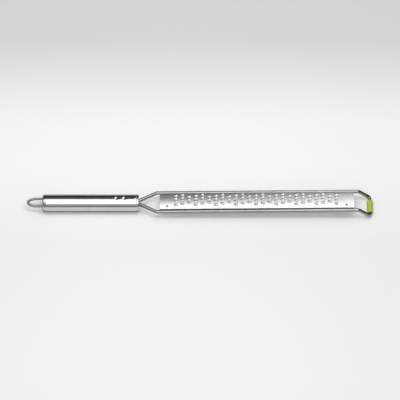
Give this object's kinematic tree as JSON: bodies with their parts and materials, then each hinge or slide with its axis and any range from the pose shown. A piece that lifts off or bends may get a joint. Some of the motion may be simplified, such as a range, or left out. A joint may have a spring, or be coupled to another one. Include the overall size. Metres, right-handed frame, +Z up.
{
  "type": "hand grater",
  "caption": "Long hand grater: polished tube handle with a hanging loop, bent wire frame, crowned sheet blade with scoop teeth, and a soft sleeve on its foot bar",
  "frame": {"origin": "on the table, under the middle of the grater's length and width, as it lies at rest", "axes": "+X runs along the grater from the handle to the foot, +Y across it, +Z up, away from the table"},
  "size_m": [0.4002, 0.03, 0.0199],
  "materials": {
    "polished_steel": "polished",
    "drawn_wire": "bright drawn",
    "satin_sheet": "satin",
    "green_silicone": "soft matte"
  },
  "bodies": {
    "root": {"handle_tube": "polished_steel", "rear_cap": "polished_steel", "front_cap": "polished_steel", "hanging_loop": "drawn_wire", "frame_wire": "drawn_wire", "rear_weld_near": "drawn_wire", "rear_weld_far": "drawn_wire", "front_weld_near": "drawn_wire", "front_weld_far": "drawn_wire", "grater_blade": "satin_sheet", "foot_sleeve": "green_silicone"}
  },
  "joints": []
}
